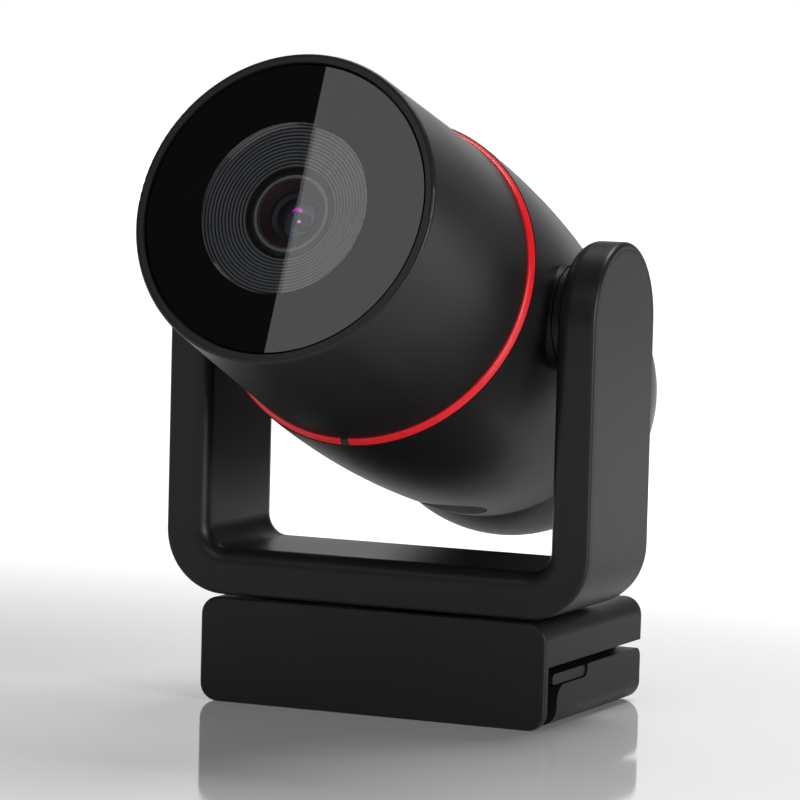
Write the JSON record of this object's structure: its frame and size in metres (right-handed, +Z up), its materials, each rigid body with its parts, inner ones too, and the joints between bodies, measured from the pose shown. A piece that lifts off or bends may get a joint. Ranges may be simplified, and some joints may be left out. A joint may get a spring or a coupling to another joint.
{
  "type": "ptz camera",
  "caption": "Pan-tilt webcam: barrel head with window, ribbed lens funnel and red light ring, held by a U yoke that turns on a folding screen clip with tripod thread.",
  "frame": {"origin": "mouth of the tripod thread in the bottom of the folded leg, under the pan axis, on the plane the clip stands on", "axes": "+Z up along the pan axis, front of the camera towards -Y, +X to the right as seen from the front with the camera facing the viewer"},
  "size_m": [0.105, 0.1751, 0.149],
  "materials": {
    "shell_black": "soft satin moulded plastic, fine texture",
    "trim_grey": "matt dark grey plastic",
    "ring_red": "glossy red light ring",
    "rubber_black": "matt black rubber",
    "window_glass": "polished, printed black outside the window",
    "lens_glass": "coated optical glass",
    "baffle_grey": "satin black ribbed plastic",
    "lens_black": "satin black anodised",
    "steel": "machined",
    "screw_steel": "black oxide",
    "motor_steel": "pressed can",
    "port_steel": "stamped shell",
    "brass": "turned",
    "aluminium": "extruded fins",
    "gear_white": "acetal",
    "chassis_black": "glass-filled nylon",
    "board_green": "solder mask",
    "chip_black": "moulded package",
    "sensor_glass": "cover glass over the die"
  },
  "bodies": {
    "base": {"front_plate": "shell_black", "base_housing": "shell_black", "base_cover": "shell_black", "base_screws": "screw_steel", "jaw_pad": "rubber_black", "lip_pad": "rubber_black", "hinge_pin": "steel", "pan_spindle": "steel", "spindle_clip": "steel", "pan_gear": "gear_white", "base_board": "board_green", "usb_port": "port_steel"},
    "clamp_leg": {"leg_housing": "shell_black", "leg_cover": "shell_black", "leg_screws": "screw_steel", "leg_pad": "rubber_black", "foot_pads": "rubber_black", "tripod_insert": "brass", "flap_pin": "steel"},
    "flap": {"clamp_flap": "shell_black", "flap_pad": "rubber_black"},
    "yoke": {"yoke_front": "shell_black", "yoke_rear": "shell_black", "yoke_screws": "screw_steel", "pan_bush": "gear_white", "yoke_bracket": "steel", "pan_motor": "motor_steel", "tilt_stub_right": "steel", "tilt_stub_left": "steel", "tilt_gear": "gear_white"},
    "pan_drive": {"pan_pinion": "gear_white"},
    "tilt_drive": {"tilt_pinion": "gear_white"},
    "head": {"front_barrel": "shell_black", "rear_shell": "shell_black", "tail_cap": "shell_black", "red_ring": "ring_red", "ring_key": "trim_grey", "front_glass": "window_glass", "lens_baffle": "baffle_grey", "lens_bezel": "lens_black", "lens_hood": "lens_black", "lens_barrel": "lens_black", "front_lens": "lens_glass", "inner_lens": "lens_glass", "iris": "lens_black", "lens_mount": "lens_black", "sensor_board": "board_green", "image_sensor": "sensor_glass", "chassis": "chassis_black", "chassis_screws": "screw_steel", "standoffs": "brass", "main_board": "board_green", "processor": "chip_black", "heat_sink": "aluminium", "board_posts": "chassis_black", "tilt_motor": "motor_steel", "motor_plate": "steel", "head_bush_right": "gear_white", "head_bush_left": "gear_white", "service_plug": "rubber_black"}
  },
  "joints": [
    {"name": "pan", "type": "hinge", "parent": "base", "child": "yoke", "pos_m": [0, 0, 0.0248], "axis": [0, 0, 1], "range_deg": [-150, 150]},
    {"name": "tilt", "type": "hinge", "parent": "yoke", "child": "head", "pos_m": [0, 0, 0.0913], "axis": [-1, 0, 0], "range_deg": [-44, 8]},
    {"name": "leg_hinge", "type": "hinge", "parent": "base", "child": "clamp_leg", "pos_m": [0, 0.039, 0.0134], "axis": [1, 0, 0], "range_deg": [0, 110]},
    {"name": "flap_hinge", "type": "hinge", "parent": "clamp_leg", "child": "flap", "pos_m": [0, 0.0054, 0.0111], "axis": [-1, 0, 0], "range_deg": [0, 88]},
    {"name": "pan_pinion_spin", "type": "hinge", "parent": "yoke", "child": "pan_drive", "pos_m": [0.01606, 0, 0.0312], "axis": [0, 0, 1], "range_deg": [-450, 450]},
    {"name": "tilt_pinion_spin", "type": "hinge", "parent": "head", "child": "tilt_drive", "pos_m": [0.0284, 0.01531, 0.09837], "axis": [-1, 0, 0], "range_deg": [-110, 20]}
  ],
  "couplings": [
    {"joint": "flap_hinge", "follows": "leg_hinge", "ratio": 0.8},
    {"joint": "pan_pinion_spin", "follows": "pan", "ratio": 3},
    {"joint": "tilt_pinion_spin", "follows": "tilt", "ratio": 2.5}
  ]
}
